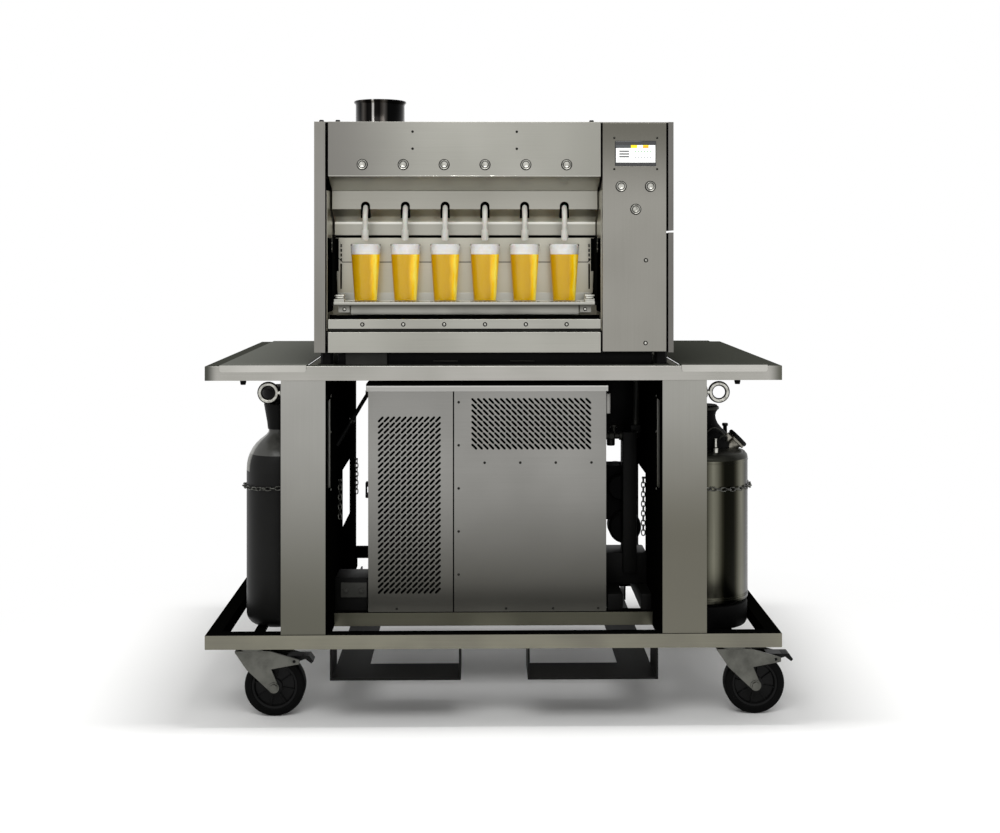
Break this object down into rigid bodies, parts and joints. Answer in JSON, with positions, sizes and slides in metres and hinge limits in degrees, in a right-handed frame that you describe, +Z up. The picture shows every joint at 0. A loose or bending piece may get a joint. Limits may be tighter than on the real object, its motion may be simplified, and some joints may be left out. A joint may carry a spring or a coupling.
{
  "type": "draft beer dispenser",
  "caption": "Multi-tap beer filling machine on a rolling steel counter, with cooler, gas bottle and keg below; cup rack tilts, buttons press, casters turn.",
  "frame": {"origin": "centre of the part's bounding box on the floor", "axes": "+X to the user's right, +Y away from the user at the taps, +Z up"},
  "size_m": [1.446, 0.8046, 1.537],
  "materials": {
    "brushed_steel": "satin, brushed",
    "polished_steel": "polished",
    "dark_steel": "dark, satin",
    "black_paint": "satin black",
    "zinc": "zinc plated",
    "rubber": "matt",
    "bottle_paint": "satin grey",
    "beer": "clear cup, filled",
    "hose": "satin white",
    "screen": "gloss"
  },
  "bodies": {
    "stand": {"back_bar": "dark_steel", "base_frame": "brushed_steel", "base_pan": "black_paint", "control_panel": "brushed_steel", "cooler_cabinet": "brushed_steel", "cooler_front_left": "brushed_steel", "cooler_front_right": "brushed_steel", "cooler_lid": "brushed_steel", "counter_board_left": "brushed_steel", "counter_board_right": "brushed_steel", "counter_frame": "brushed_steel", "drip_tray": "dark_steel", "duct_collar": "dark_steel", "eye_bolt_left": "polished_steel", "eye_bolt_right": "polished_steel", "fork_pocket_left": "black_paint", "fork_pocket_right": "black_paint", "gas_bottle": "bottle_paint", "gas_valve_guard": "black_paint", "keg": "polished_steel", "keg_boot": "rubber", "leg_left": "brushed_steel", "leg_right": "brushed_steel", "lower_fascia": "brushed_steel", "niche_back": "brushed_steel", "roof_and_back": "brushed_steel", "side_panel_left": "brushed_steel", "side_panel_right_lower": "brushed_steel", "side_panel_right_upper": "brushed_steel", "spout_cover": "brushed_steel", "spout_manifold": "hose", "touch_screen": "screen", "trim_rail": "brushed_steel", "upper_fascia": "brushed_steel"},
    "rack": {"tilting_rack": "dark_steel", "cup_1": "beer", "cup_2": "beer", "cup_3": "beer", "cup_4": "beer", "cup_5": "beer", "cup_6": "beer"},
    "tap_button_1": {"tap_button_1": "polished_steel"},
    "tap_button_2": {"tap_button_2": "polished_steel"},
    "tap_button_3": {"tap_button_3": "polished_steel"},
    "tap_button_4": {"tap_button_4": "polished_steel"},
    "tap_button_5": {"tap_button_5": "polished_steel"},
    "tap_button_6": {"tap_button_6": "polished_steel"},
    "side_button_1": {"side_button_1": "polished_steel"},
    "side_button_2": {"side_button_2": "polished_steel"},
    "side_button_3": {"side_button_3": "polished_steel"},
    "caster_front_left": {"caster_fork_front_left": "zinc"},
    "wheel_front_left": {"caster_wheel_front_left": "rubber"},
    "caster_front_right": {"caster_fork_front_right": "zinc"},
    "wheel_front_right": {"caster_wheel_front_right": "rubber"},
    "caster_rear_left": {"caster_fork_rear_left": "zinc"},
    "wheel_rear_left": {"caster_wheel_rear_left": "rubber"},
    "caster_rear_right": {"caster_fork_rear_right": "zinc"},
    "wheel_rear_right": {"caster_wheel_rear_right": "rubber"},
    "pedal_front_left": {"brake_pedal_front_left": "rubber"},
    "pedal_front_right": {"brake_pedal_front_right": "rubber"}
  },
  "joints": [
    {"name": "rack_tilt", "type": "hinge", "parent": "stand", "child": "rack", "pos_m": [-0.0955, -0.294, 1.179], "axis": [-1, 0, 0], "range_deg": [0, 25]},
    {"name": "tap_button_1_press", "type": "slide", "parent": "stand", "child": "tap_button_1", "axis": [0, 1, 0], "range_m": [0, 0.002], "stiffness_N_per_m": 400, "springref_m": -0.0005},
    {"name": "tap_button_2_press", "type": "slide", "parent": "stand", "child": "tap_button_2", "axis": [0, 1, 0], "range_m": [0, 0.002], "stiffness_N_per_m": 400, "springref_m": -0.0005},
    {"name": "tap_button_3_press", "type": "slide", "parent": "stand", "child": "tap_button_3", "axis": [0, 1, 0], "range_m": [0, 0.002], "stiffness_N_per_m": 400, "springref_m": -0.0005},
    {"name": "tap_button_4_press", "type": "slide", "parent": "stand", "child": "tap_button_4", "axis": [0, 1, 0], "range_m": [0, 0.002], "stiffness_N_per_m": 400, "springref_m": -0.0005},
    {"name": "tap_button_5_press", "type": "slide", "parent": "stand", "child": "tap_button_5", "axis": [0, 1, 0], "range_m": [0, 0.002], "stiffness_N_per_m": 400, "springref_m": -0.0005},
    {"name": "tap_button_6_press", "type": "slide", "parent": "stand", "child": "tap_button_6", "axis": [0, 1, 0], "range_m": [0, 0.002], "stiffness_N_per_m": 400, "springref_m": -0.0005},
    {"name": "side_button_1_press", "type": "slide", "parent": "stand", "child": "side_button_1", "axis": [0, 1, 0], "range_m": [0, 0.002], "stiffness_N_per_m": 400, "springref_m": -0.0005},
    {"name": "side_button_2_press", "type": "slide", "parent": "stand", "child": "side_button_2", "axis": [0, 1, 0], "range_m": [0, 0.002], "stiffness_N_per_m": 400, "springref_m": -0.0005},
    {"name": "side_button_3_press", "type": "slide", "parent": "stand", "child": "side_button_3", "axis": [0, 1, 0], "range_m": [0, 0.002], "stiffness_N_per_m": 400, "springref_m": -0.0005},
    {"name": "swivel_front_left", "type": "hinge", "parent": "stand", "child": "caster_front_left", "pos_m": [-0.62, -0.305, 0.16], "axis": [0, 0, 1], "continuous": true},
    {"name": "roll_front_left", "type": "hinge", "parent": "caster_front_left", "child": "wheel_front_left", "pos_m": [-0.567, -0.305, 0.075], "axis": [0, 1, 0], "continuous": true},
    {"name": "swivel_front_right", "type": "hinge", "parent": "stand", "child": "caster_front_right", "pos_m": [0.574, -0.305, 0.16], "axis": [0, 0, 1], "continuous": true},
    {"name": "roll_front_right", "type": "hinge", "parent": "caster_front_right", "child": "wheel_front_right", "pos_m": [0.627, -0.305, 0.075], "axis": [0, 1, 0], "continuous": true},
    {"name": "swivel_rear_left", "type": "hinge", "parent": "stand", "child": "caster_rear_left", "pos_m": [-0.62, 0.305, 0.16], "axis": [0, 0, 1], "continuous": true},
    {"name": "roll_rear_left", "type": "hinge", "parent": "caster_rear_left", "child": "wheel_rear_left", "pos_m": [-0.567, 0.305, 0.075], "axis": [0, 1, 0], "continuous": true},
    {"name": "swivel_rear_right", "type": "hinge", "parent": "stand", "child": "caster_rear_right", "pos_m": [0.574, 0.305, 0.16], "axis": [0, 0, 1], "continuous": true},
    {"name": "roll_rear_right", "type": "hinge", "parent": "caster_rear_right", "child": "wheel_rear_right", "pos_m": [0.627, 0.305, 0.075], "axis": [0, 1, 0], "continuous": true},
    {"name": "brake_front_left", "type": "hinge", "parent": "caster_front_left", "child": "pedal_front_left", "pos_m": [-0.517, -0.305, 0.1395], "axis": [0, 1, 0], "range_deg": [0, 8]},
    {"name": "brake_front_right", "type": "hinge", "parent": "caster_front_right", "child": "pedal_front_right", "pos_m": [0.677, -0.305, 0.1395], "axis": [0, 1, 0], "range_deg": [0, 8]}
  ]
}
